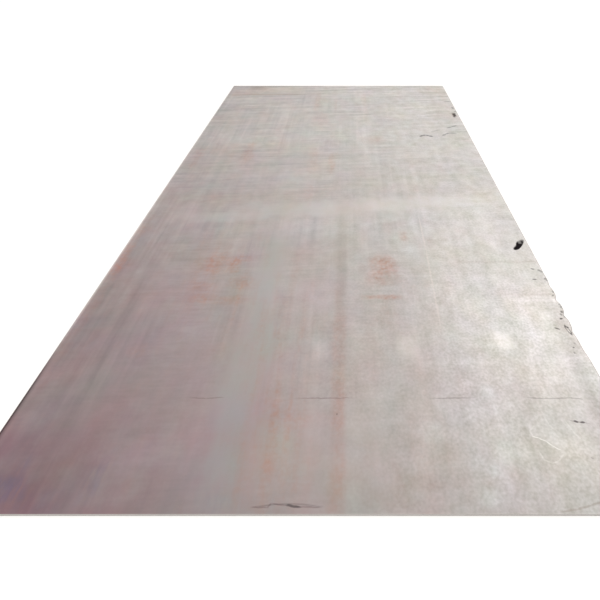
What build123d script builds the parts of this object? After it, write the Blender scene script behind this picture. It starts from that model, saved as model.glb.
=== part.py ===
from build123d import *

import os
from math import cos, exp, radians, sin, tan, tau

# A hot-rolled steel plate, one rolled piece, lying flat. X runs across the
# plate, Y along the rolling direction and Z up. The origin is under the middle
# of the plate, on the surface that it lies on. All sizes are in millimetres.
# The long sides are mill edges, left round by the rolls and never trimmed.
# Both ends are cut on a guillotine shear.

# Stock size
PLATE_WIDTH = 1500.0
PLATE_LENGTH = 3000.0
PLATE_THICKNESS = 10.0

# Mill edges: the round of the section, and a slow wave of the right edge's line
MILL_EDGE_RADIUS = 4.0
WAVE_DEPTH = 1.5
WAVE_LENGTH = 2400.0
WAVE_STEP = 300.0

# Ragged stretch of the right mill edge, measured from the near end
RAG_DEPTH = 8.0
RAG_PITCH = 73.0
RAG_FROM_NEAR_END = 633.0
RAG_REACH = 125.0
RAG_STEP = 12.0
HOLLOW_DEPTH = 6.0
HOLLOW_FROM_NEAR_END = 495.0
HOLLOW_REACH = 75.0

# Sheared ends: roll-over at the top, a cut band, then a break that leans back
SHEAR_ROLL_OVER = 1.2
SHEAR_BAND = 3.6
SHEAR_LEAN = 0.9
SHEAR_WASTE = 20.0
CUT_MARGIN = 2.0

# Slag pit in the top face by the right edge
SLAG_PIT_LENGTH = 90.0
SLAG_PIT_WIDTH = 29.0
SLAG_PIT_DEPTH = 5.0
SLAG_PIT_SLOPE = 20.0
SLAG_PIT_TURN = 50.0
SLAG_PIT_FROM_RIGHT = 39.0
SLAG_PIT_FROM_NEAR_END = 979.0

# Scale pit, shallower, towards the far end
SCALE_PIT_LENGTH = 68.0
SCALE_PIT_WIDTH = 21.0
SCALE_PIT_DEPTH = 2.5
SCALE_PIT_SLOPE = 15.0
SCALE_PIT_TURN = 94.0
SCALE_PIT_FROM_RIGHT = 27.0
SCALE_PIT_FROM_FAR_END = 611.0

# Outline of both pits as parts of their length and width, a bean with one notch
PIT_OUTLINE = [
    (-0.50, -0.10),
    (-0.32, -0.48),
    (0.06, -0.46),
    (0.38, -0.24),
    (0.50, 0.06),
    (0.40, 0.36),
    (0.12, 0.50),
    (-0.12, 0.24),
    (-0.38, 0.22),
]

# Pinholes beside the ragged edge: distance from the right edge and the near end
PINHOLE_LENGTH = 9.0
PINHOLE_WIDTH = 6.0
PINHOLE_DEPTH = 1.5
PINHOLES = [
    (13.0, 612.0),
    (26.0, 580.0),
    (23.0, 478.0),
    (37.0, 442.0),
]

# Sliver beside the right edge, rolled in and scored all round
SLIVER_LENGTH = 36.0
SLIVER_WIDTH = 10.0
SLIVER_SCORE = 1.8
SLIVER_DEPTH = 1.0
SLIVER_TURN = 101.0
SLIVER_FROM_RIGHT = 21.0
SLIVER_FROM_NEAR_END = 532.0

# Rolling lap across the plate near its near end, a thin open crescent
LAP_LENGTH = 150.0
LAP_RISE = 9.0
LAP_OPENING = 3.0
LAP_DEPTH = 1.0
LAP_FROM_RIGHT = 795.0
LAP_FROM_NEAR_END = 14.0

half_width = PLATE_WIDTH / 2
half_length = PLATE_LENGTH / 2


def swell(along, centre, reach):
    """1 at the centre of a local defect, fading to 0 past its reach."""
    return exp(-(((along - centre) / reach) ** 2))


def right_edge_x(along):
    """The right mill edge's place at a distance from the near end."""
    wave = WAVE_DEPTH * (1 - cos(tau * along / WAVE_LENGTH)) / 2
    tooth = ((1 - cos(tau * (along - RAG_FROM_NEAR_END) / RAG_PITCH)) / 2) ** 2
    rag = RAG_DEPTH * tooth * swell(along, RAG_FROM_NEAR_END, RAG_REACH)
    hollow = HOLLOW_DEPTH * swell(along, HOLLOW_FROM_NEAR_END, HOLLOW_REACH)
    return half_width - wave - rag - hollow


def stations(start, end, step):
    """Evenly spaced distances from the near end, the two limits included."""
    count = max(2, round((end - start) / step))
    return [start + (end - start) * n / count for n in range(count + 1)]


# The ragged stretch takes closer stations than the slow wave on either side
rag_start = HOLLOW_FROM_NEAR_END - 2 * HOLLOW_REACH
rag_end = RAG_FROM_NEAR_END + 2 * RAG_REACH
edge_stations = (
    stations(0, rag_start, WAVE_STEP)[:-1]
    + stations(rag_start, rag_end, RAG_STEP)
    + stations(rag_end, PLATE_LENGTH, WAVE_STEP)[1:]
)
right_edge = [(right_edge_x(along), along - half_length) for along in edge_stations]


def top_plane(from_right, from_near_end, turn=0.0):
    """Plane on the top face at a defect, its X along the defect's length."""
    return Plane(
        origin=(half_width - from_right, from_near_end - half_length, PLATE_THICKNESS),
        x_dir=(cos(radians(turn)), sin(radians(turn)), 0),
        z_dir=(0, 0, 1),
    )


pits = [
    (
        top_plane(SLAG_PIT_FROM_RIGHT, SLAG_PIT_FROM_NEAR_END, SLAG_PIT_TURN),
        SLAG_PIT_LENGTH,
        SLAG_PIT_WIDTH,
        SLAG_PIT_DEPTH,
        SLAG_PIT_SLOPE,
    ),
    (
        top_plane(SCALE_PIT_FROM_RIGHT, PLATE_LENGTH - SCALE_PIT_FROM_FAR_END, SCALE_PIT_TURN),
        SCALE_PIT_LENGTH,
        SCALE_PIT_WIDTH,
        SCALE_PIT_DEPTH,
        SCALE_PIT_SLOPE,
    ),
]

with BuildPart() as steel_plate:
    # The blank, outlined by its two mill edges and its two cut lines
    with BuildSketch(Plane.XY):
        with BuildLine():
            right = Spline(*right_edge)
            Polyline(
                right @ 0,
                (-half_width, -half_length),
                (-half_width, half_length),
                right @ 1,
            )
        make_face()
    extrude(amount=PLATE_THICKNESS)

    # The round of both mill edges, top and bottom
    level_edges = steel_plate.edges().filter_by(Axis.Z, reverse=True)
    fillet(level_edges.filter_by(Axis.X, reverse=True), radius=MILL_EDGE_RADIUS)

    # The shear's profile, taken off both ends over the whole width
    with BuildSketch(Plane.YZ):
        with BuildLine():
            roll_over = CenterArc(
                (half_length - SHEAR_ROLL_OVER, PLATE_THICKNESS - SHEAR_ROLL_OVER),
                SHEAR_ROLL_OVER,
                0,
                90,
            )
            Polyline(
                roll_over @ 1,
                (half_length - SHEAR_ROLL_OVER, PLATE_THICKNESS + CUT_MARGIN),
                (half_length + SHEAR_WASTE, PLATE_THICKNESS + CUT_MARGIN),
                (half_length + SHEAR_WASTE, -CUT_MARGIN),
                (half_length - SHEAR_LEAN, -CUT_MARGIN),
                (half_length - SHEAR_LEAN, 0),
                (half_length, PLATE_THICKNESS - SHEAR_BAND),
                roll_over @ 0,
            )
        make_face()
        mirror(about=Plane.YZ)
    extrude(amount=PLATE_WIDTH, both=True, mode=Mode.SUBTRACT)

    # The two pits, each lofted from its outline down to a smaller floor
    for plane, length, width, depth, slope in pits:
        floor_share = 1 - 2 * depth * tan(radians(slope)) / width
        for drop, share in ((0, 1), (depth, floor_share)):
            with BuildSketch(plane.offset(-drop)):
                with BuildLine():
                    outline = [(u * length * share, v * width * share) for u, v in PIT_OUTLINE]
                    Spline(*outline, periodic=True)
                make_face()
        loft(mode=Mode.SUBTRACT)

    # Pinholes beside the ragged edge
    for from_right, from_near_end in PINHOLES:
        with BuildSketch(top_plane(from_right, from_near_end)):
            Ellipse(PINHOLE_WIDTH / 2, PINHOLE_LENGTH / 2)
        extrude(amount=-PINHOLE_DEPTH, mode=Mode.SUBTRACT)

    # The score round the sliver
    with BuildSketch(top_plane(SLIVER_FROM_RIGHT, SLIVER_FROM_NEAR_END, SLIVER_TURN)):
        Ellipse(SLIVER_LENGTH / 2, SLIVER_WIDTH / 2)
        Ellipse(
            SLIVER_LENGTH / 2 - SLIVER_SCORE,
            SLIVER_WIDTH / 2 - SLIVER_SCORE,
            mode=Mode.SUBTRACT,
        )
    extrude(amount=-SLIVER_DEPTH, mode=Mode.SUBTRACT)

    # The rolling lap, open between two arcs that meet at its tips
    with BuildSketch(top_plane(LAP_FROM_RIGHT, LAP_FROM_NEAR_END)):
        with BuildLine():
            ThreePointArc(
                (-LAP_LENGTH / 2, 0),
                (0, LAP_RISE),
                (LAP_LENGTH / 2, 0),
            )
            ThreePointArc(
                (-LAP_LENGTH / 2, 0),
                (0, LAP_RISE - LAP_OPENING),
                (LAP_LENGTH / 2, 0),
            )
        make_face()
    extrude(amount=-LAP_DEPTH, mode=Mode.SUBTRACT)

os.makedirs("parts", exist_ok=True)
steel_plate.part.label = "steel_plate"
export_step(steel_plate.part, "parts/steel_plate.step")
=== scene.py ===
from math import atan, atan2, cos, hypot, pi, radians, sin, tau

import bpy
import numpy as np
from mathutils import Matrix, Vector, noise


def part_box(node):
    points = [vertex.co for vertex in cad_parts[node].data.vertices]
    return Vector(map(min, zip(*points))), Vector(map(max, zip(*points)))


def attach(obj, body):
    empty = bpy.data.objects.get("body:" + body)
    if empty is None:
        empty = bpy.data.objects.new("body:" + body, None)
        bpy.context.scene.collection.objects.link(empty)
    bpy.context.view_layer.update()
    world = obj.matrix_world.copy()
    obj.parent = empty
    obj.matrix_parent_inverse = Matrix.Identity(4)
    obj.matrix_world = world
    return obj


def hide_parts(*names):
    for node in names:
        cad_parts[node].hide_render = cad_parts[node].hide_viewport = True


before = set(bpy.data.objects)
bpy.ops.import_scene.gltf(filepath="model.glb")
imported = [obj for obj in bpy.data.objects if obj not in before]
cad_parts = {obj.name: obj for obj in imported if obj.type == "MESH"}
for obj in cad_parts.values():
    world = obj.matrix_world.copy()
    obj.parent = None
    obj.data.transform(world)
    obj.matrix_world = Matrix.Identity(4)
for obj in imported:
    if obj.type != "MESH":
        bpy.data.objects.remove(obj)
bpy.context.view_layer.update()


# The steel plate: its shape
# One hot-rolled piece of mild steel. The rolls left its long sides round and
# the right one ragged, and its ends were cut on a guillotine shear. Slag and
# scale that were rolled in and fell out left pits by the right edge.

# Sizes in millimetres. Places along the edge are measured from the near end
MM = 0.001
plate_low, plate_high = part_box("steel_plate")
WIDTH, LENGTH, THICKNESS = ((plate_high - plate_low) / MM)[:]

# Mill edges: their round, and the right one's slow wave, its teeth and a hollow
EDGE_ROUND = 4.0
WAVE_DEPTH, WAVE_LENGTH = 1.5, 2400.0
RAG_DEPTH, RAG_PITCH, RAG_PLACE, RAG_REACH = 8.0, 73.0, 633.0, 125.0
HOLLOW_DEPTH, HOLLOW_PLACE, HOLLOW_REACH = 6.0, 495.0, 75.0

# Sheared ends: roll-over at the top, a cut band, then a break that leans back
ROLL_OVER, SHEAR_BAND, SHEAR_LEAN = 1.2, 3.6, 0.9
BAND_JAG = 0.5

# How far in from the right edge and the ends the mesh bends to follow them
WANDER_REACH, LEAN_REACH = 130.0, 8.0


def smooth(value, start, end):
    """0 at start, 1 at end, with an easy curve between them."""
    share = np.clip((value - start) / (end - start), 0, 1)
    return share * share * (3 - 2 * share)


def graded(*stops):
    """Places from the first stop to the last, as far apart as each stretch says."""
    places = []
    for (start, spacing), (end, _) in zip(stops, stops[1:]):
        count = max(1, round((end - start) / spacing))
        places += [start + (end - start) * n / count for n in range(count)]
    return np.array(places + [stops[-1][0]])


def edge_fall(along):
    """How far the right mill edge lies inside the plate's full width."""
    wave = WAVE_DEPTH * (1 - np.cos(tau * along / WAVE_LENGTH)) / 2
    tooth = ((1 - np.cos(tau * (along - RAG_PLACE) / RAG_PITCH)) / 2) ** 2
    rag = RAG_DEPTH * tooth * np.exp(-(((along - RAG_PLACE) / RAG_REACH) ** 2))
    hollow = HOLLOW_DEPTH * np.exp(-(((along - HOLLOW_PLACE) / HOLLOW_REACH) ** 2))
    return wave + rag + hollow


# Distances from the near end and from the right edge, closer where damage is
rows = graded(
    (0, 0.3), (ROLL_OVER, 1.6), (6, 1.3), (28, 4), (44, 14), (366, 3.4), (505, 2.0),
    (565, 3.4), (880, 12), (935, 2.6), (1025, 15), (2345, 3.2), (2435, 15),
    (LENGTH - 30, 6), (LENGTH - ROLL_OVER, 0.3), (LENGTH, 0),
)
top_columns = graded(
    (EDGE_ROUND, 1.6), (40, 2.6), (70, 4), (110, 8), (214, 12), (WIDTH - 44, 6),
    (WIDTH - EDGE_ROUND, 0),
)[::-1]
under_columns = graded((EDGE_ROUND, 30), (WANDER_REACH, 140), (WIDTH - EDGE_ROUND, 0))
quarter = np.radians([90, 72, 54, 36, 18, 0])

# One loop round the section: over the top, down the right edge, under, up the left
inset = EDGE_ROUND * (1 - np.cos(quarter))
rise = EDGE_ROUND * np.sin(quarter)
from_right = np.concatenate([
    top_columns,
    inset[1:], inset[::-1][:-1],
    under_columns,
    WIDTH - inset[1:], WIDTH - inset[::-1][:-1],
])
level = np.concatenate([
    np.full(len(top_columns), THICKNESS),
    (THICKNESS - EDGE_ROUND + rise)[1:], (EDGE_ROUND - rise)[::-1][:-1],
    np.zeros(len(under_columns)),
    (EDGE_ROUND - rise)[1:], (THICKNESS - EDGE_ROUND + rise)[::-1][:-1],
])
ring = len(from_right)
last_top = len(top_columns) - 1
first_under = last_top + 2 * (len(quarter) - 1) + 1
last_under = first_under + len(under_columns) - 1

# Each loop follows the ragged edge, and leans and rolls over towards the ends
wander = 1 - smooth(from_right, 0, WANDER_REACH)
across = WIDTH / 2 - from_right[None, :] - edge_fall(rows)[:, None] * wander[None, :]
lean = SHEAR_LEAN * np.clip(1 - level / (THICKNESS - SHEAR_BAND), 0, 1)
to_end = np.minimum(rows, LENGTH - rows)
inwards = np.where(rows < LENGTH / 2, 1, -1) * np.clip(1 - to_end / LEAN_REACH, 0, 1)
along = rows[:, None] - LENGTH / 2 + inwards[:, None] * lean[None, :]
in_round = np.clip(ROLL_OVER - to_end, 0, ROLL_OVER)
crown = THICKNESS - ROLL_OVER + np.sqrt(ROLL_OVER**2 - in_round**2)
height = np.minimum(level[None, :], crown[:, None])
top = slice(0, last_top + 1)
top_x, top_y = across[:, top], along[:, top]

# Damage in the top face, its places measured from the plate's middle
PIT_OUTLINE = [
    (-0.50, -0.10), (-0.32, -0.48), (0.06, -0.46), (0.38, -0.24), (0.50, 0.06),
    (0.40, 0.36), (0.12, 0.50), (-0.12, 0.24), (-0.38, 0.22),
]
SLAG_PIT = {"x": 711, "y": -521, "length": 90, "width": 29, "turn": 50, "depth": 5.0}
SCALE_PIT = {"x": 723, "y": 889, "length": 68, "width": 21, "turn": 94, "depth": 2.5}
SLAG_PIT_WALL, SCALE_PIT_WALL = 0.30, 0.35
PINHOLES = [(737, -888), (724, -920), (727, -1022), (713, -1058)]
PINHOLE_HALF_WIDTH, PINHOLE_HALF_LENGTH, PINHOLE_DEPTH = 3.4, 5, 1.5
SLIVER = {"x": 729, "y": -968, "length": 36, "width": 10, "turn": 101, "score": 1.8, "depth": 1.0}
SLIVER_INSET = 1
LAP = {"x": -45, "y": -1486, "length": 150, "rise": 9, "opening": 3, "depth": 1.0}
LAP_CORE, LAP_SIDE, LAP_TAPER = 0.8, 2.4, 3

# Relief of the face: how far it dips, its slow waves and its drawn-out ones, the
# shoulders by the edges and ends that stay calm, and a dented near right corner
FACE_DIP, FACE_WAVE, DRAWN_WAVE = 0.16, 0.12, 0.04
SHOULDER, END_SHOULDER = 18, 6
DENT_DEPTH, DENTS_FROM_RIGHT, DENTS_TO_NEAR = 0.9, (34, 6), (380, 640)


def turned(x, y, spot):
    """Distances along and across a spot that lies turned by its angle."""
    angle = radians(spot["turn"])
    dx, dy = x - spot["x"], y - spot["y"]
    return dx * cos(angle) + dy * sin(angle), dy * cos(angle) - dx * sin(angle)


def pit_share(x, y, spot, wall):
    """1 on a pit's floor, 0 outside its outline, and between on its wall."""
    u, v = turned(x, y, spot)
    u, v = u / spot["length"], v / spot["width"]
    stops = np.array(PIT_OUTLINE)
    t = np.linspace(0, 1, 12, endpoint=False)[:, None]
    curve = []
    for n in range(len(stops)):
        a, b, c, d = (stops[(n + k) % len(stops)] for k in (-1, 0, 1, 2))
        curve.append(b + (c - a) / 2 * t + (a - 2.5 * b + 2 * c - d / 2) * t**2
                     + (1.5 * b - a / 2 - 1.5 * c + d / 2) * t**3)
    curve = np.concatenate(curve)
    bearing = np.arctan2(curve[:, 1], curve[:, 0])
    order = np.argsort(bearing)
    radius = np.hypot(*curve.T)
    to_outline = np.interp(np.arctan2(v, u), bearing[order], radius[order], period=tau)
    return 1 - smooth(np.hypot(u, v) / to_outline, 1 - wall, 1)


def uneven(x, y, size_x, size_y, seed, octaves=3):
    """Smooth random relief from about -1 to 1, with bumps of the given sizes."""
    places = zip(np.ravel(x / size_x), np.ravel(y / size_y))
    values = [noise.fractal(Vector((u, v, seed)), 1.0, 2.0, octaves) for u, v in places]
    return np.array(values).reshape(np.shape(x))


slag = pit_share(top_x, top_y, SLAG_PIT, SLAG_PIT_WALL)
scale = pit_share(top_x, top_y, SCALE_PIT, SCALE_PIT_WALL)
pinholes = np.zeros_like(top_x)
for x, y in PINHOLES:
    to_rim = np.hypot((top_x - x) / PINHOLE_HALF_WIDTH, (top_y - y) / PINHOLE_HALF_LENGTH)
    pinholes = np.maximum(pinholes, 1 - smooth(to_rim, 0.5, 1))
lengthways, sideways = turned(top_x, top_y, SLIVER)
lengthways = lengthways / (SLIVER["length"] / 2 - SLIVER_INSET)
sideways = sideways / (SLIVER["width"] / 2 - SLIVER_INSET)
off_line = np.abs(1 - np.hypot(lengthways, sideways)) * SLIVER["width"] / 2
score = 1 - smooth(off_line, SLIVER["score"] / 2, SLIVER["score"])
bow = LAP["rise"] * (1 - ((top_x - LAP["x"]) / (LAP["length"] / 2)) ** 2)
off_lap = np.abs(top_y - (LAP["y"] + bow - LAP["opening"] / 2))
lap = (1 - smooth(off_lap, LAP_CORE, LAP_SIDE)) * smooth(bow, 0, LAP_TAPER)

# How far each top point lies below the plate's face
to_side = np.minimum(from_right[top], WIDTH - from_right[top])[None, :]
calm = smooth(to_side, EDGE_ROUND, SHOULDER) * smooth(to_end, ROLL_OVER, END_SHOULDER)[:, None]
waves = FACE_DIP + FACE_WAVE * uneven(top_x, top_y, 260, 340, 3.1)
waves += DRAWN_WAVE * uneven(top_x, top_y, 14, 240, 8.7)
inner, outer = DENTS_FROM_RIGHT
battered = smooth(top_x, WIDTH / 2 - inner, WIDTH / 2 - outer) * smooth(-top_y, *DENTS_TO_NEAR)
dents = DENT_DEPTH * battered * np.clip(uneven(top_x, top_y, 9, 12, 5.5), 0, 1)
depth = calm * waves + dents
depth += SLAG_PIT["depth"] * slag * (0.86 + 0.14 * uneven(top_x, top_y, 7, 7, 1.2))
depth += SCALE_PIT["depth"] * scale * (0.8 + 0.2 * uneven(top_x, top_y, 6, 6, 2.4))
depth += PINHOLE_DEPTH * pinholes + SLIVER["depth"] * score + LAP["depth"] * lap
height[:, top] -= np.clip(depth, 0, None)

# Quads between neighbouring loops, then the two sheared ends
points = np.stack([across, along, height], -1).reshape(-1, 3)
here = np.arange(len(rows) - 1)[:, None] * ring + np.arange(ring)[None, :]
after = np.arange(len(rows) - 1)[:, None] * ring + (np.arange(ring)[None, :] + 1) % ring
faces = np.stack([here, after, after + ring, here + ring], -1).reshape(-1, 4).tolist()
band_level = THICKNESS - SHEAR_BAND
band_points = []
for row, out in ((0, -1), (len(rows) - 1, 1)):
    start = row * ring
    jag = BAND_JAG * uneven(top_x[row], np.full(last_top + 1, 40.0 * out), 11, 1, 6.6)
    first_band = len(points) + len(band_points)
    band_points += [(x, out * LENGTH / 2, band_level + z) for x, z in zip(across[row, top], jag)]
    band = list(range(first_band, first_band + last_top + 1))
    foot = [start + k for k in range(last_under, first_under - 1, -1)]
    end_faces = [(start + k, start + k + 1, band[k + 1], band[k]) for k in range(last_top)]
    k = 0
    for f in range(len(foot) - 1):
        next_foot_x = across[row, foot[f + 1] - start]
        while k < last_top and (f == len(foot) - 2 or across[row, k + 1] <= next_foot_x):
            end_faces.append((band[k], band[k + 1], foot[f]))
            k += 1
        end_faces.append((band[k], foot[f + 1], foot[f]))
    end_faces.append((band[-1], *(start + k for k in range(last_top, first_under + 1))))
    end_faces.append((band[0], *(start + k % ring for k in range(last_under, ring + 1))))
    # The near end faces the other way, so its corners run the other way round
    faces += [face[::out] for face in end_faces]
points = np.concatenate([points, band_points])

plate_mesh = bpy.data.meshes.new("rolled_plate")
plate_mesh.from_pydata((points * MM).tolist(), [], faces)
plate = bpy.data.objects.new("rolled_plate", plate_mesh)
bpy.context.scene.collection.objects.link(plate)
plate_mesh.polygons.foreach_set("use_smooth", np.ones(len(plate_mesh.polygons), bool))
plate_mesh.set_sharp_from_angle(angle=radians(40))

# The map for baked textures, as parts of its height: the top fills most of it, and
# the mill edges, the underside and the sheared ends lie in thin strips below the top
MAP_MARGIN, MAP_SPAN = 0.004, 0.992
MAP_STRIPS = (
    (0, last_top, 0.160, 0.996), (last_top, first_under, 0.130, 0.148),
    (first_under, last_under, 0.050, 0.118), (last_under, ring, 0.022, 0.040),
)
NEAR_END_STRIP, FAR_END_STRIP, END_STRIP_HEIGHT = 0.003, 0.013, 0.006

section = np.stack([from_right, level], -1)
section_steps = np.hypot(*(np.roll(section, -1, 0) - section).T)
strip_from, strip_to = np.zeros(ring), np.zeros(ring)
for first, last, low, high in MAP_STRIPS:
    walked = np.concatenate([[0], np.cumsum(section_steps[first:last])])
    walked /= section_steps[first:last].sum()
    strip_from[first:last] = low + (high - low) * walked[:-1]
    strip_to[first:last] = low + (high - low) * walked[1:]
row_place = MAP_MARGIN + MAP_SPAN * rows / LENGTH
corners = np.zeros((len(rows) - 1, ring, 4, 2))
corners[:, :, :2, 0] = row_place[:-1, None, None]
corners[:, :, 2:, 0] = row_place[1:, None, None]
corners[:, :, [0, 3], 1] = strip_from[None, :, None]
corners[:, :, [1, 2], 1] = strip_to[None, :, None]
end_x, end_y, end_z = points[[k for face in faces[(len(rows) - 1) * ring:] for k in face]].T
end_strip = np.where(end_y < 0, NEAR_END_STRIP, FAR_END_STRIP)
end_corners = np.stack([
    MAP_MARGIN + MAP_SPAN * (end_x / WIDTH + 0.5),
    end_strip + END_STRIP_HEIGHT * end_z / THICKNESS,
], -1)
bake_map = plate_mesh.uv_layers.new(name="OFBake")
bake_map.data.foreach_set("uv", np.concatenate([corners.reshape(-1, 2), end_corners]).ravel())

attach(plate, "root")
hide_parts("steel_plate")


# The steel plate: its finish
# Bare hot-rolled steel: warm grey, pale where it was scuffed, with a purple-brown
# heat tint and painted shade over the near left, a painted sheen to the right, thin
# rust blushes, and streaks that the rolls drew out along it. Slag, scale and dirt
# left dark marks, and handling left bright ones. Painted shade and a painted
# highlight lie along parts of the edges and the near end.

# Nothing on the plate has a ruled outline, so patches have nudged sides and ends
SIDE_NUDGE, END_NUDGE = 18, 28
nudge_x = uneven(top_x, top_y, 30, 120, 11.3)
nudge_y = uneven(top_x, top_y, 60, 45, 15.9)


def patches(*spots):
    """Soft patches on the top: middle x and y, half width, half length, strength."""
    total = np.zeros_like(top_x)
    for x, y, wide, long, strength in spots:
        from_x = np.abs(top_x - x + min(0.5 * wide, SIDE_NUDGE) * nudge_x) / wide
        from_y = np.abs(top_y - y + min(0.5 * long, END_NUDGE) * nudge_y) / long
        total += strength * (1 - smooth(from_x, 0.4, 1.5)) * (1 - smooth(from_y, 0.4, 1.5))
    return total


# Heat tint with painted shade over it: strongest at the near left corner, and gone
# by the right edge and on the far third
towards_near = np.clip((500 - top_y) / 2000, 0, 1)
near_left_tint_and_shade = (0.14 + 0.92 * towards_near**1.8) * smooth(towards_near, 0, 0.1)
near_left_tint_and_shade *= np.clip((530 - top_x) / 1160, 0, 1.08)
near_left_tint_and_shade *= 1 - patches((-193, -826, 52, 330, 0.12), (-650, -1180, 110, 130, 0.22))

# Scuffs, where handling and stacking wore the steel pale
scuff_and_highlight = patches(
    # The worn right side
    (691, -965, 270, 300, 0.20), (692, -627, 300, 460, 0.26), (641, -990, 60, 180, 0.26),
    (645, 100, 90, 1000, 0.06),
    # A light band across the plate
    (-456, -320, 190, 36, 0.09), (-150, -265, 190, 60, 0.11), (110, -240, 190, 62, 0.11),
    (330, -212, 190, 56, 0.19), (546, -185, 150, 48, 0.25), (-60, -395, 210, 60, 0.07),
    # Pale stretches and short bright marks on the far half
    (0, 550, 300, 80, 0.06), (330, 965, 460, 110, 0.07), (-640, 1180, 110, 100, 0.09),
    (106, 1370, 130, 85, 0.14), (359, 1329, 40, 36, 0.20), (-411, 1375, 250, 80, 0.13),
    (-44, 327, 26, 7, 0.30), (-385, 1046, 26, 8, 0.25), (-552, 1072, 30, 8, 0.22),
    # Spots on the near half
    (524, -1011, 28, 36, 0.66), (254, -1036, 30, 42, 0.26), (1, -1049, 18, 36, 0.11),
    (400, -1095, 60, 16, 0.14), (742, -758, 9, 9, 0.40), (736, -838, 9, 9, 0.40),
    (385, -1240, 20, 56, 0.16), (478, -1335, 15, 56, 0.18), (600, -1350, 40, 32, 0.26),
    (436, -1366, 20, 24, 0.20), (277, -1311, 25, 24, 0.10), (436, -1192, 16, 26, 0.12),
    (400, -1406, 16, 18, 0.12), (602, -1388, 32, 20, 0.12), (377, -1467, 20, 20, 0.10),
    (-86, -1390, 50, 80, 0.04),
    # Streaks along the plate
    (434, -905, 26, 520, 0.08), (619, -905, 20, 560, 0.05), (363, -726, 8, 400, 0.12),
    (108, -707, 22, 700, 0.05), (167, 694, 11, 620, 0.07), (531, 714, 14, 600, 0.08),
    (88, -1373, 16, 150, 0.04), (482, -1010, 11, 330, 0.18), (582, -1000, 10, 330, 0.15),
    (500, -500, 10, 230, 0.07), (400, -560, 10, 300, 0.05), (-340, -500, 9, 230, 0.05),
    (-130, -500, 12, 220, 0.06), (640, -500, 9, 220, 0.04), (-240, 600, 8, 320, 0.05),
    (180, 300, 8, 900, 0.05), (482, -500, 10, 200, 0.09), (-641, -600, 10, 330, 0.06),
    (165, -1000, 10, 330, 0.05), (-580, 50, 10, 250, 0.04), (-220, 50, 10, 250, 0.05),
    (-8, 50, 14, 250, 0.05),
    # Both edges
    (-738, 0, 12, 1100, 0.08), (-718, 500, 14, 900, 0.04), (744, 100, 8, 1500, 0.10),
)
from_left = top_x + WIDTH / 2
# A painted highlight on the left rim from the middle to the far end, added to the scuffs
painted_rim_highlight = (1 - smooth(from_left, 3, 9)) * (1 - smooth(-top_y, 850, 1150))
scuff_and_highlight += 0.45 * painted_rim_highlight

# Rust blushes
rust = patches(
    # The blotch left of the middle
    (-402, -640, 45, 50, 0.20), (-329, -640, 22, 46, 0.20), (-289, -607, 34, 18, 0.13),
    (-404, -768, 30, 20, 0.15), (-282, -743, 42, 32, 0.14), (-309, -834, 66, 18, 0.14),
    (-399, -824, 28, 22, 0.15), (-314, -655, 20, 44, 0.13),
    # The blotch right of the middle
    (196, -672, 45, 74, 0.32), (214, -647, 24, 40, 0.10), (192, -820, 52, 10, 0.30),
    (199, -890, 46, 36, 0.05), (287, -468, 17, 30, 0.19), (231, -393, 25, 28, 0.07),
    (150, -930, 60, 240, 0.03),
    # The left edge
    (-724, -826, 18, 340, 0.08), (-728, -420, 18, 160, 0.08), (-730, -630, 18, 90, 0.16),
    (-705, -636, 26, 42, 0.12), (-716, -420, 26, 30, 0.11), (-692, 240, 22, 140, 0.10),
    # Columns and spots towards the near end
    (54, -1210, 18, 400, 0.16), (-98, -1330, 13, 160, 0.08), (-111, -806, 13, 250, 0.07),
    (-283, -885, 14, 200, 0.05), (-80, -1361, 70, 150, 0.05), (-90, -1243, 62, 50, 0.05),
    (-101, -1440, 11, 50, 0.08), (-134, -1399, 7, 65, 0.05), (-21, -1272, 60, 22, 0.04),
    (179, -1401, 90, 110, 0.04), (-519, -1044, 22, 30, 0.07), (-393, -1034, 24, 34, 0.05),
    # The far half
    (-94, -116, 88, 84, 0.10), (-438, 342, 30, 125, 0.15), (-332, 433, 76, 50, 0.07),
    (230, 498, 34, 56, 0.13), (162, 473, 30, 42, 0.05), (-9, 190, 15, 125, 0.19),
    (-104, 240, 24, 140, 0.08), (-20, 560, 24, 160, 0.06), (-585, 362, 120, 70, 0.05),
    (-125, 1130, 20, 180, 0.12), (-91, 810, 46, 125, 0.09), (-9, 1060, 9, 130, 0.12),
    (180, 1080, 16, 260, 0.09), (658, 870, 72, 62, 0.04), (690, 1150, 62, 330, 0.07),
    (-435, 920, 40, 24, 0.07), (-599, 1344, 110, 62, 0.06), (-575, 1304, 34, 12, 0.14),
    (-707, 1329, 12, 82, 0.08), (-688, 1310, 22, 40, 0.07),
)

# Where more of the rust is drawn out into lines
rust_lines = patches((-105, -1180, 95, 360, 0.13), (-330, -700, 200, 330, 0.10))

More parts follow.
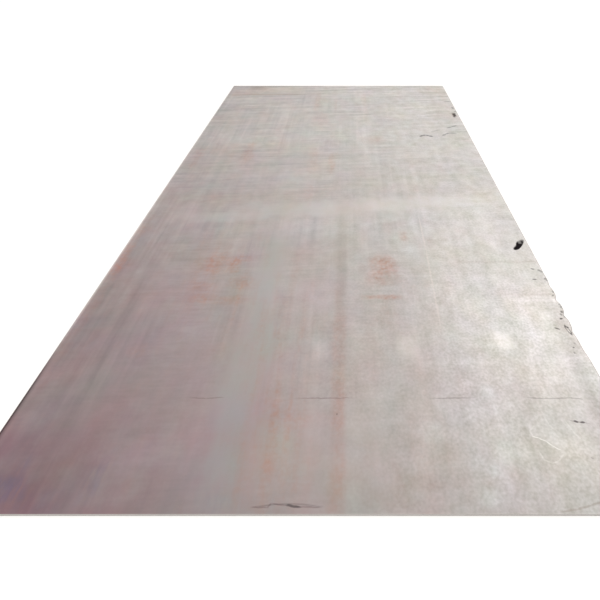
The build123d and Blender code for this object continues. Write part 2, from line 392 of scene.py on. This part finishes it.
# Brown dirt
brown = patches(
    # Streaks along the plate
    (50, -627, 20, 310, 0.17), (51, -1124, 17, 460, 0.06), (622, 1130, 22, 330, 0.07),
    # Bands and lines across it
    (481, -120, 280, 44, 0.05), (-507, -158, 250, 54, 0.07), (-507, -141, 250, 8, 0.05),
    (-477, -184, 220, 7, 0.05), (-280, -360, 82, 26, 0.06), (430, -1124, 200, 22, 0.03),
    (661, -807, 90, 6, 0.26), (601, -629, 140, 6, 0.20), (600, -797, 140, 20, 0.10),
    (718, -624, 20, 5, 0.12), (-158, 1309, 60, 8, 0.05),
    # Spots on the near right
    (245, -1322, 62, 180, 0.05), (269, -1254, 50, 50, 0.05), (292, -1400, 34, 110, 0.08),
    (328, -1391, 26, 66, 0.11), (456, -1425, 18, 30, 0.13), (500, -1380, 90, 60, 0.03),
    (641, -1401, 60, 90, 0.05), (692, -1262, 24, 56, 0.12), (713, -952, 24, 24, 0.32),
    (740, -567, 10, 120, 0.05), (400, -567, 40, 30, 0.03),
    # The far half, with the corner stain and the dirt round the scale pit
    (-545, 1440, 80, 44, 0.24), (-411, 1375, 250, 80, 0.21), (-574, 1400, 130, 100, 0.04),
    (723, 889, 13, 32, 0.55), (62, 865, 40, 72, 0.09), (658, 1385, 98, 102, 0.06),
    (243, 936, 46, 72, 0.06), (-324, 1132, 90, 42, 0.07), (-445, 905, 40, 46, 0.06),
    (-110, 192, 52, 135, 0.05),
)

# Slate: a cool grey-green oxide, in a long streak left of the middle and in spots
slate = patches(
    (-193, -806, 44, 270, 0.17), (-192, -1203, 42, 320, 0.25), (-199, -388, 42, 160, 0.07),
    (329, -320, 105, 32, 0.18), (-421, -333, 130, 34, 0.16), (-85, 548, 96, 76, 0.14),
    (-348, 734, 80, 62, 0.08), (319, 654, 52, 62, 0.08), (-216, 252, 34, 320, 0.07),
    (243, 956, 46, 70, 0.04), (658, 1400, 98, 90, 0.04), (87, 232, 60, 90, 0.05),
    (289, -527, 50, 70, 0.10), (168, -468, 30, 80, 0.08), (118, -647, 26, 90, 0.08),
    (-200, -1430, 54, 70, 0.20), (-500, -1430, 100, 80, 0.10), (330, -128, 230, 18, 0.10),
    (-51, -1397, 26, 58, 0.12), (112, -1395, 34, 100, 0.10), (-195, -1356, 45, 60, 0.05),
    (277, -1311, 25, 24, 0.22), (436, -1192, 16, 26, 0.26), (436, -1366, 20, 24, 0.28),
    (400, -1406, 16, 18, 0.22), (602, -1388, 32, 20, 0.24), (377, -1467, 20, 20, 0.22),
    (88, -1373, 18, 150, 0.12), (-160, -1445, 34, 64, 0.12), (-168, -1370, 36, 50, 0.05),
    (-400, -1380, 70, 80, 0.10), (-326, -1331, 40, 40, 0.09), (-86, -1390, 50, 80, 0.08),
)

# Blue temper colour at the near left corner
blue = patches(
    (-638, -1450, 34, 26, 0.12), (-645, -1393, 16, 42, 0.09), (-472, -1425, 26, 46, 0.10),
    (-583, -1470, 60, 30, 0.05), (-693, -1470, 40, 50, 0.08), (-202, -1475, 50, 24, 0.05),
)

# Dull scale that nothing has rubbed
dull_and_shade = patches(
    # Streaks along the plate
    (701, -1183, 14, 260, 0.12), (551, -806, 12, 460, 0.04), (425, -905, 5, 520, 0.07),
    (238, 192, 8, 900, 0.06), (280, 694, 20, 600, 0.05), (-223, 1147, 10, 160, 0.12),
    (-51, 1147, 7, 200, 0.07), (104, 1188, 10, 150, 0.08), (521, -1150, 10, 90, 0.12),
    (521, -860, 10, 110, 0.12), (622, -1000, 10, 330, 0.08), (546, -500, 14, 230, 0.12),
    (355, -510, 15, 220, 0.08), (-300, -500, 9, 220, 0.06), (-98, -500, 9, 220, 0.06),
    (-280, 600, 10, 330, 0.11), (580, 1180, 9, 280, 0.04), (-662, -550, 9, 330, 0.06),
    (122, -800, 12, 500, 0.05), (242, -1000, 10, 300, 0.04), (-540, 50, 10, 250, 0.05),
    (-60, 50, 10, 250, 0.06), (260, 50, 10, 250, 0.05),
    # Lines across it
    (-310, 1483, 330, 8, 0.06), (298, 1487, 420, 5, 0.05), (541, 545, 180, 7, 0.05),
    (430, 247, 120, 7, 0.07), (-646, -647, 90, 9, 0.06), (-565, -806, 150, 8, 0.07),
    # Wider patches
    (-575, 1430, 50, 45, 0.26), (545, -620, 60, 110, 0.07), (520, -1272, 28, 36, 0.07),
    (290, -1200, 16, 22, 0.10), (-430, -110, 110, 110, 0.05), (220, -1420, 340, 90, 0.04),
    (320, 1180, 220, 100, 0.04), (-624, -1104, 60, 300, 0.05), (712, -358, 40, 34, 0.07),
    (732, -403, 20, 10, 0.10), (-608, -1254, 60, 50, 0.05), (-450, -30, 160, 70, 0.04),
    (-640, 480, 70, 100, 0.03), (520, -1172, 50, 50, 0.05),
)
# Painted shade that darkens the plate towards its near end, most on the right
near_end_shade = smooth(-top_y, 1385, 1500)
dull_and_shade += near_end_shade * (0.05 + 0.09 * smooth(top_x, -500, 300))

# Where the plate was wiped smooth, so that its grain hardly shows
wiped = patches(
    (-456, -320, 190, 36, 0.35), (-150, -265, 190, 60, 0.60), (110, -240, 190, 62, 0.60),
    (330, -212, 190, 62, 0.55), (546, -185, 150, 52, 0.45), (-193, -826, 46, 380, 0.60),
    (-192, -1253, 60, 280, 0.60), (254, -1036, 30, 42, 0.50), (524, -1011, 28, 36, 0.50),
    (0, -1400, 170, 160, 0.34),
)

# Near-black slag and dirt, with painted shade: in the pits apart from a few bare corners,
# slag with the painted shade of their depth; dirt in the pinholes, the score and the lap;
# and painted shade at the near end of the left edge and on the ragged teeth
slag_corner = 1 - 0.36 * patches((722, -501, 6, 9, 1))
scale_corners = 1 - patches((733, 866, 5, 12, 0.9), (712, 913, 5, 10, 0.9))
beside_scale = patches((718, 864, 7, 18, 0.72), (730, 908, 5, 12, 0.60))
# Painted shade along the left rim towards the near end
painted_rim_shade = (1 - smooth(from_left, 4, 13)) * smooth(-top_y, 980, 1220)
soot_and_shade = np.maximum.reduce([
    slag**0.5 * slag_corner, 0.80 * scale_corners * scale**0.5, beside_scale,
    0.35 * pinholes, 0.70 * score, 0.24 * lap, 0.85 * painted_rim_shade,
])
# Painted shade on the right edge's round along its ragged teeth
notch_wall_shade = smooth(edge_fall(rows), 3, 7) * smooth(rows, 470, 520) * (1 - smooth(rows, 850, 880))
painted_notch_shade = np.zeros((len(rows), ring))
painted_notch_shade[:, last_top + 2:first_under] = 0.6 * notch_wall_shade[:, None]

# The sheared ends, and the rounded sides with the underside, which kept their scale
cut = np.zeros((len(rows), ring))
cut[[0, -1]] = 1
rolled_side = smooth(THICKNESS - level, 0.2, 3)


def paint(name, on_top, elsewhere=0.0):
    """Stores a value for every point of the plate's mesh."""
    values = np.full(len(points), 1.0) * elsewhere
    sheet = values[:len(rows) * ring].reshape(len(rows), ring)
    sheet[:, top] = on_top
    plate_mesh.attributes.new(name, "FLOAT", "POINT").data.foreach_set("value", values)


paint("heat_tint_and_shade", np.clip(near_left_tint_and_shade, 0, 1), 0.25)
paint("scuff_and_highlight", np.clip(scuff_and_highlight, 0, 1))
paint("rust", rust, 0.06)
paint("rust_lines", rust_lines)
paint("brown", brown, 0.10)
paint("slate", slate)
paint("blue", blue)
paint("dull_and_shade", dull_and_shade)
paint("wiped", np.clip(wiped, 0, 0.7))
paint("soot_and_shade", np.clip(soot_and_shade, 0, 1), np.concatenate([painted_notch_shade.ravel(), np.zeros(len(band_points))]))
paint("cut", cut[:, top], np.concatenate([cut.ravel(), np.ones(len(band_points))]))
paint("side", 0, np.concatenate([np.tile(rolled_side, len(rows)), np.zeros(len(band_points))]))


def linear(hex_colour):
    """An sRGB hex colour as linear red, green, blue and alpha."""
    channels = [int(hex_colour[n:n + 2], 16) / 255 for n in (1, 3, 5)]
    return [c / 12.92 if c <= 0.04045 else ((c + 0.055) / 1.055) ** 2.4 for c in channels] + [1]


def add(kind, *inputs, out=0, **settings):
    """Adds a node with its settings and inputs to the tree in hand, and gives one output."""
    node = tree.nodes.new("ShaderNode" + kind)
    for name, value in settings.items():
        setattr(node, name, value)
    by_key = inputs[0] if inputs and isinstance(inputs[0], dict) else dict(enumerate(inputs))
    for key, value in by_key.items():
        if isinstance(value, bpy.types.NodeSocket):
            tree.links.new(value, node.inputs[key])
        else:
            node.inputs[key].default_value = value
    return node.outputs[out] if node.outputs else None


# Hot-rolled mild steel, left as the rolls and the air made it. Through its thin
# oxide the eye sees a satin grey with broad, soft highlights and no clear mirror.
steel = bpy.data.materials.new("hot_rolled_steel")
steel.use_nodes = True
tree = steel.node_tree
tree.nodes.clear()

# Where each point lies, and the amounts that were painted on the mesh
place = add("TexCoord", out="Object")
painted = {
    name: add("Attribute", out="Fac", attribute_name=name)
    for name in (
        "heat_tint_and_shade", "scuff_and_highlight", "rust", "rust_lines", "brown", "slate", "blue", "dull_and_shade", "wiped",
        "soot_and_shade", "cut", "side",
    )
}


def grain(wide, long, turn=0.0, detail=2.0, part=0.0):
    """Random grain with grains of this size in millimetres, around 0."""
    spread = {
        "Vector": place, "Location": (part, part, part), "Rotation": (0, 0, turn),
        "Scale": (wide * MM, long * MM, min(wide, long) * MM),
    }
    spots = add("Mapping", spread, vector_type="TEXTURE")
    grains = add("TexNoise", {"Vector": spots, "Scale": 1, "Detail": detail, "Roughness": 0.55})
    return add("Math", grains, 0.5, operation="SUBTRACT")


# Streaks that the rolls drew out, as wide as the jets that wash scale off it, and
# finer ones between them. Ripples across come from the rollers that carried it,
# and mottling from scale that lifted. The scale's own grain is under a millimetre,
# too fine to show in the render, so speckle is drawn at 7 mm, coarse enough to show.
streak = grain(44, 1700, part=3.1)
fine_streak = grain(15, 420, part=7.4)
ripple = grain(420, 24, turn=0.07, part=1.7)
short_ripple = grain(75, 12, turn=0.03, part=9.2)
cloud = grain(190, 330, part=5.3)
mottle = grain(40, 46, part=2.6, detail=3)
speckle = grain(7, 8, part=8.8, detail=3)

# Where a point lies in metres, and its share in the far part and the worn right part
x_place, y_place, z_place = add("SeparateXYZ", place, out=slice(3))
far_share = add("MapRange", y_place, -0.9, 0.6)
worn = add("MapRange", x_place, -0.2, 0.4)

# A painted sheen makes the bare plate paler to the right, and slate paler there and further away
sheen_to_right = add("Math", add("MapRange", x_place, -0.75, 0.75), 0.7, operation="POWER")
bare_greys_and_sheen = {0: sheen_to_right, 6: linear("#ABA29E"), 7: linear("#D4CFC9")}
bare_colour_and_sheen = add("Mix", bare_greys_and_sheen, out=2, data_type="RGBA")
slate_sheen_share = add("Math", far_share, add("MapRange", x_place, 0.0, 0.3), operation="MAXIMUM")
slate_greys_and_sheen = {0: slate_sheen_share, 6: linear("#98A29C"), 7: linear("#BDC8C2")}
slate_colour_and_sheen = add("Mix", slate_greys_and_sheen, out=2, data_type="RGBA")

# How much of each colour lies on the plate, made uneven or broken up by grain
uneven_slate = add("Math", mottle, 0.30, painted["slate"], operation="MULTIPLY_ADD")
uneven_slate = add("Math", cloud, 0.30, uneven_slate, operation="MULTIPLY_ADD")
uneven_slate = add("Math", uneven_slate, 0, operation="MAXIMUM")
uneven_brown = add("Math", ripple, 0.20, painted["brown"], operation="MULTIPLY_ADD")
uneven_brown = add("Math", fine_streak, 0.16, uneven_brown, operation="MULTIPLY_ADD")
uneven_brown = add("Math", uneven_brown, 0, operation="MAXIMUM")
blotch = grain(60, 90, part=12.5, detail=3)
drawn_out = add("MapRange", grain(26, 260, part=23.3, detail=3), -0.05, 0.2)
uneven_rust = add("Math", blotch, 0.22, painted["rust"], operation="MULTIPLY_ADD")
uneven_rust = add("Math", streak, 0.12, uneven_rust, operation="MULTIPLY_ADD")
uneven_rust = add("Math", drawn_out, painted["rust_lines"], uneven_rust, operation="MULTIPLY_ADD")
uneven_rust = add("Math", uneven_rust, 0, operation="MAXIMUM")
rust_breaks = add("MapRange", grain(13, 15, part=19.5, detail=3), -0.16, 0.16, 0.5, 1.5)
broken_rust = add("Math", uneven_rust, rust_breaks, operation="MULTIPLY")
blue_breaks = add("MapRange", grain(12, 60, part=21.7, detail=3), -0.12, 0.12, 0.1, 1.9)
broken_blue = add("Math", painted["blue"], blue_breaks, operation="MULTIPLY")
scuff_breaks = add("MapRange", speckle, -0.2, 0.2, 0.88, 1.12)
broken_scuff_and_highlight = add("Math", painted["scuff_and_highlight"], scuff_breaks, operation="MULTIPLY")

# The colours, laid over the bare plate one after another
colour = bare_colour_and_sheen
for amount, layer in (
    (painted["heat_tint_and_shade"], linear("#84686D")), (uneven_slate, slate_colour_and_sheen),
    (uneven_brown, linear("#8C6C54")), (broken_rust, linear("#B2714F")),
    (broken_blue, linear("#505A82")), (painted["dull_and_shade"], linear("#5A5450")),
    (broken_scuff_and_highlight, linear("#F4EEE9")),
):
    colour = add("Mix", {0: amount, 6: colour, 7: layer}, out=2, data_type="RGBA")

# Light and dark from the grain, which comes and goes, and is faint where the
# plate was wiped smooth and under the heat tint and its painted shade
gather = grain(230, 330, part=14.6, detail=3)
faint = add("Math", painted["heat_tint_and_shade"], 0.50, painted["wiped"], operation="MULTIPLY_ADD")
mark_strength = add("Math", 1, faint, operation="SUBTRACT")
mark_strength = add("Math", mark_strength, 0, operation="MAXIMUM")

along_marks = add("Math", fine_streak, 0.6, streak, operation="MULTIPLY_ADD")
for fade in (
    add("MapRange", x_place, -0.7, 0.0, 0.62, 0.34),
    add("MapRange", x_place, 0.35, 0.65, 1.0, 0.55),
    add("MapRange", y_place, -0.4, 0.3, 1.0, 0.8),
    add("MapRange", gather, -0.12, 0.12, 0.3, 1.4),
):
    along_marks = add("Math", along_marks, fade, operation="MULTIPLY")

far_ripple = add("MapRange", far_share, 0, 1, 0.18, 0.52)
across_marks = add("Math", ripple, far_ripple, operation="MULTIPLY")
across_marks = add("Math", short_ripple, 0.18, across_marks, operation="MULTIPLY_ADD")
for fade in (
    add("MapRange", y_place, 1.1, 1.3, 1.0, 1.35),
    add("MapRange", gather, -0.12, 0.12, 1.4, 0.3),
):
    across_marks = add("Math", across_marks, fade, operation="MULTIPLY")

mottle_share = add("MapRange", worn, 0, 1, 0.30, 0.46)
near_worn = add("MapRange", y_place, -1.0, -0.6, 0.16, 0.0)
near_worn = add("Math", worn, near_worn, operation="MULTIPLY")
speckle_share = add("Math", near_worn, 0.22, operation="ADD")
speckle_share = add("Math", worn, 0.18, speckle_share, operation="MULTIPLY_ADD")
marks = add("Math", along_marks, across_marks, operation="ADD")
marks = add("Math", mottle, mottle_share, marks, operation="MULTIPLY_ADD")
marks = add("Math", speckle, speckle_share, marks, operation="MULTIPLY_ADD")
tone = add("Math", marks, mark_strength, 1.0, operation="MULTIPLY_ADD")
tone = add("Math", cloud, 0.18, tone, operation="MULTIPLY_ADD")

# Thin oxide turns the steel slightly rosy or green, and slightly tan or blue
rosy = grain(120, 180, part=16.2, detail=4)
tan = grain(150, 200, part=18.9, detail=4)
for fade in (
    add("MapRange", worn, 0, 1, 1, 0.6),
    add("Math", painted["heat_tint_and_shade"], 0.9, operation="ADD"),
):
    rosy = add("Math", rosy, fade, operation="MULTIPLY")
worn_marks = add("Math", marks, worn, operation="MULTIPLY")
less_blue = add("Math", tan, -0.22, tone, operation="MULTIPLY_ADD")
tinted = add(
    "CombineColor",
    add("Math", rosy, 0.19, tone, operation="MULTIPLY_ADD"),
    add("Math", rosy, -0.09, tone, operation="MULTIPLY_ADD"),
    add("Math", worn_marks, 0.20, less_blue, operation="MULTIPLY_ADD"),
)
toned = {0: 1.0, 6: colour, 7: tinted}
colour = add("Mix", toned, out=2, data_type="RGBA", blend_type="MULTIPLY")

# Marks along drawn lines: points in millimetres from the plate's middle, which
# the grain shakes by a few millimetres
SHAKE = 5
shaky_x = add("Math", grain(14, 14, part=4.4), SHAKE * MM, x_place, operation="MULTIPLY_ADD")
shaky_y = add("Math", grain(14, 14, part=6.1), SHAKE * MM, y_place, operation="MULTIPLY_ADD")
shaky = add("CombineXYZ", shaky_x, shaky_y, THICKNESS * MM)


def strokes(half_width, *lines):
    """1 on the drawn lines and 0 off them, with soft sides and thin ends."""
    total = None
    for line in lines:
        for (x0, y0), (x1, y1) in zip(line, line[1:]):
            # A soft oval on each straight piece, long enough to run into the next
            stroke = {
                "Vector": shaky,
                "Location": ((x0 + x1) / 2 * MM, (y0 + y1) / 2 * MM, THICKNESS * MM),
                "Rotation": (0, 0, atan2(y1 - y0, x1 - x0)),
                "Scale": (hypot(x1 - x0, y1 - y0) * 0.7 * MM, half_width * 1.5 * MM, 1),
            }
            spot = add("Mapping", stroke, vector_type="TEXTURE")
            glow = add("TexGradient", spot, out="Fac", gradient_type="SPHERICAL")
            total = glow if total is None else add("Math", total, glow, operation="MAXIMUM")
    return add("MapRange", total, 0, 0.4)


thin_dark = strokes(
    1.4,
    [(-320, -1211), (-282, -1214), (-242, -1210)], [(-44, -1213), (84, -1212)],
    [(296, -1213), (390, -1212)], [(538, -1211), (575, -1214), (642, -1212), (673, -1216)],
    [(617, -1278), (658, -1286)], [(-119, -1486), (-89, -1487), (-80, -1478), (-49, -1483)],
    [(-26, -1485), (19, -1487)], [(628, -1375), (634, -1377)],
)
brown_line = strokes(
    1.9, [(521, -1495), (555, -1490), (586, -1482), (613, -1475)],
)
tan_line = strokes(
    8.0, [(-690, 1286), (-470, 1295)], [(-580, 1290), (-330, 1297)], [(-430, 1296), (-225, 1299)],
)
far_dark = strokes(
    5.5, [(703, 1149), (752, 1149)], [(644, 669), (670, 685), (701, 708)],
    [(600, 554), (617, 573), (639, 590), (680, 590)], [(734, 1034), (737, 1002)],
    [(745, 1207), (754, 1207)], [(739, 960), (742, 948)],
)
faint_dark = strokes(6.0, [(545, 610), (594, 640)])
arch = strokes(6.0, [(471, 539), (488, 556), (506, 561), (522, 552), (540, 538)])
# Painted shade on the far walls of the ragged teeth by the right edge
notch_shade_strokes = strokes(
    4.5, [(732, -675), (741, -683), (748, -690)], [(741, -721), (744, -729), (748, -737)],
    [(748, -788), (744, -799)], [(736, -809), (740, -813)], [(742, -853), (748, -857)],
    [(747, -861), (745, -873)], [(735, -888), (744, -890)], [(729, -902), (736, -902)],
    [(736, -911), (747, -910)],
)
dark = strokes(
    2.4, [(626, -1279), (635, -1283)], [(641, -1282), (651, -1284)], [(-48, -1482), (-21, -1486)],
    [(710, -670), (722, -672)], [(698, -728), (711, -728)], [(722, -919), (731, -920)],
    [(692, -959), (704, -966)], [(50, -1260), (52, -1260)], [(729, -954), (733, -960)],
    [(717, -1037), (720, -1039)],
)
pale_line = strokes(2.8, [(363, -330), (362, -560), (357, -780), (354, -939)])
faint_bright = strokes(
    1.6, [(516, -1362), (520, -1379), (536, -1389), (555, -1382), (570, -1366)],
    [(606, -1280), (613, -1306), (624, -1330), (636, -1334)],
    [(559, -1270), (563, -1290), (571, -1302)], [(526, -1292), (511, -1306), (514, -1320)],
)
bright = strokes(1.1, [(513, -1321), (527, -1326), (540, -1334), (552, -1346), (568, -1357)])
for line, amount, line_colour in (
    (thin_dark, 0.36, "#62484A"), (brown_line, 0.25, "#7A5C44"), (tan_line, 0.36, "#8C6C54"),
    (far_dark, 0.55, "#5C5A58"), (faint_dark, 0.22, "#5C5A58"), (arch, 0.75, "#5C5A58"),
    (notch_shade_strokes, 0.55, "#66645C"), (dark, 0.72, "#3E3436"), (pale_line, 0.24, "#F2E4DE"),
    (faint_bright, 0.25, "#FBF7F2"), (bright, 0.60, "#FFFCF6"),
):
    drawn = add("Math", line, amount, operation="MULTIPLY")
    colour = add("Mix", {0: drawn, 6: colour, 7: linear(line_colour)}, out=2, data_type="RGBA")

# The rounded sides and the underside keep a darker scale than the top
side_mottle = add("MapRange", mottle, -0.2, 0.2)
side_greys = {0: side_mottle, 6: linear("#7E7570"), 7: linear("#A09690")}
side_colour = add("Mix", side_greys, out=2, data_type="RGBA")
side_rust = {0: add("MapRange", blotch, 0.0, 0.25, 0, 0.5), 6: side_colour, 7: linear("#8A6650")}
side_colour = add("Mix", side_rust, out=2, data_type="RGBA")
side_scale = add("Math", painted["side"], 0.8, operation="MULTIPLY")

# The sheared ends: a bright cut band above, torn dull metal below it. The band's
# score lines are finer than this in the real cut, and drawn coarse enough to show
scored = add("MapRange", grain(1.6, 400, part=2.2), -0.2, 0.2)
band_greys = {0: scored, 6: linear("#B4AFAB"), 7: linear("#D2CECA")}
cut_band = add("Mix", band_greys, out=2, data_type="RGBA")
crumbled = add("MapRange", grain(3, 3, part=3.3), -0.2, 0.2)
torn_greys = {0: crumbled, 6: linear("#857D77"), 7: linear("#A8A19B")}
torn = add("Mix", torn_greys, out=2, data_type="RGBA")
band_foot = THICKNESS - SHEAR_BAND
torn_or_cut = add("MapRange", z_place, (band_foot - 0.4) * MM, band_foot * MM)
end_colour = add("Mix", {0: torn_or_cut, 6: torn, 7: cut_band}, out=2, data_type="RGBA")

for amount, layer in (
    (painted["soot_and_shade"], linear("#1E181B")), (side_scale, side_colour), (painted["cut"], end_colour),
):
    colour = add("Mix", {0: amount, 6: colour, 7: layer}, out=2, data_type="RGBA")

# Oxide leaves the face only part metallic, more so where it was scuffed, and the
# rounded sides hardly so. The dark marks are set metallic, so that no pale gloss
# lies over them, and they and the scale on the sides are rougher than the face
bare = add("Math", painted["scuff_and_highlight"], 0.25, 0.38, operation="MULTIPLY_ADD")
metallic = add("Math", 1, side_scale, operation="SUBTRACT")
metallic = add("Math", bare, metallic, operation="MULTIPLY")
metallic = add("Math", metallic, painted["soot_and_shade"], operation="MAXIMUM")
covered = add("Math", painted["soot_and_shade"], painted["side"], operation="MAXIMUM")
rough = add("Math", streak, 0.25, 0.5, operation="MULTIPLY_ADD")
rough = add("Math", speckle, 0.2, rough, operation="MULTIPLY_ADD")
rough = add("Math", covered, 0.25, rough, operation="MULTIPLY_ADD")
relief = add("Math", speckle, 0.7, operation="MULTIPLY")
relief = add("Math", fine_streak, 0.5, relief, operation="MULTIPLY_ADD")
relief = add("Math", mottle, relief, operation="ADD")
bump = add("Bump", {"Height": relief, "Distance": 0.25 * MM, "Strength": 1.0})

shader = add("BsdfPrincipled", {
    "Base Color": colour, "Metallic": metallic, "Roughness": rough, "Normal": bump,
})
add("OutputMaterial", {"Surface": shader})
plate_mesh.materials.append(steel)


# Floor and light
# A plain pale floor under soft, even studio light. The camera sees the floor
# and what lies beyond it as white, and the floor keeps the plate's shadow.

FLOOR_HALF_SIDE, FLOOR_LIFT, SKY_STRENGTH = 30, 0.35, 0.85
SOFTBOX_SIDE, SOFTBOX_WATTS, SOFTBOX_PLACE = 8.0, 150, (1.5, -4.5, 6.5)


def in_view():
    """1 for what the camera sees, straight or in a reflection, and 0 for other rays."""
    straight = add("LightPath", out="Is Camera Ray")
    reflected = add("LightPath", out="Is Glossy Ray")
    return add("Math", straight, reflected, operation="MAXIMUM")


world = bpy.data.worlds.new("studio")
bpy.context.scene.world = world
world.use_nodes = True
tree = world.node_tree
tree.nodes.clear()
sky_strength = add("MapRange", in_view(), 0.0, 1.0, SKY_STRENGTH, 1.0)
sky = add("Background", {"Color": (1, 1, 1, 1), "Strength": sky_strength})
add("OutputWorld", {"Surface": sky})

floor_mesh = bpy.data.meshes.new("floor")
floor_corners = [
    (x * FLOOR_HALF_SIDE, y * FLOOR_HALF_SIDE, 0) for x, y in ((-1, -1), (1, -1), (1, 1), (-1, 1))
]
floor_mesh.from_pydata(floor_corners, [], [(0, 1, 2, 3)])
floor = bpy.data.objects.new("floor", floor_mesh)
bpy.context.scene.collection.objects.link(floor)
pale = bpy.data.materials.new("pale_floor")
pale.use_nodes = True
tree = pale.node_tree
tree.nodes.clear()
matt = add("BsdfDiffuse", {"Color": linear("#E6E4E0")})
lift_strength = add("Math", in_view(), FLOOR_LIFT, operation="MULTIPLY")
lift = add("Emission", {"Color": (1, 1, 1, 1), "Strength": lift_strength})
add("OutputMaterial", {"Surface": add("AddShader", matt, lift)})
floor_mesh.materials.append(pale)

# The softbox stands before the near end and faces the plate's middle
softbox_light = bpy.data.lights.new("softbox", "AREA")
softbox_light.shape = "RECTANGLE"
softbox_light.size = SOFTBOX_SIDE
softbox_light.size_y = SOFTBOX_SIDE
softbox_light.energy = SOFTBOX_WATTS
softbox = bpy.data.objects.new("softbox", softbox_light)
bpy.context.scene.collection.objects.link(softbox)
softbox.location = SOFTBOX_PLACE
softbox.rotation_euler = (-softbox.location).to_track_quat("-Z", "Y").to_euler()

bpy.context.scene.view_settings.view_transform = "Standard"


# Camera
# It stands at the plate's near end, just right of its middle, and looks along
# it and down, as the photograph does.

# The lens and the plate's vanishing point in the photo's pixels
PHOTO_SIZE = 600
FOCAL_PIXELS = 440.5
CENTRE_PIXEL = 349.8
HORIZON_PIXEL = -85.6
SENSOR_WIDTH = 36

# The camera's place in metres, from the plate's top, its near end and its middle
EYE_ABOVE_FACE = 0.9246
EYE_BEFORE_END = 0.3903
EYE_TO_RIGHT = 0.0828

camera_data = bpy.data.cameras.new("camera")
camera_data.sensor_width = SENSOR_WIDTH
camera_data.lens = SENSOR_WIDTH * FOCAL_PIXELS / PHOTO_SIZE
camera_data.shift_x = (PHOTO_SIZE / 2 - CENTRE_PIXEL) / PHOTO_SIZE
camera = bpy.data.objects.new("camera", camera_data)
bpy.context.scene.collection.objects.link(camera)
camera.location = (EYE_TO_RIGHT, plate_low.y - EYE_BEFORE_END, plate_high.z + EYE_ABOVE_FACE)
pitch = atan((PHOTO_SIZE / 2 - HORIZON_PIXEL) / FOCAL_PIXELS)
camera.rotation_euler = (pi / 2 - pitch, 0, 0)
bpy.context.scene.camera = camera
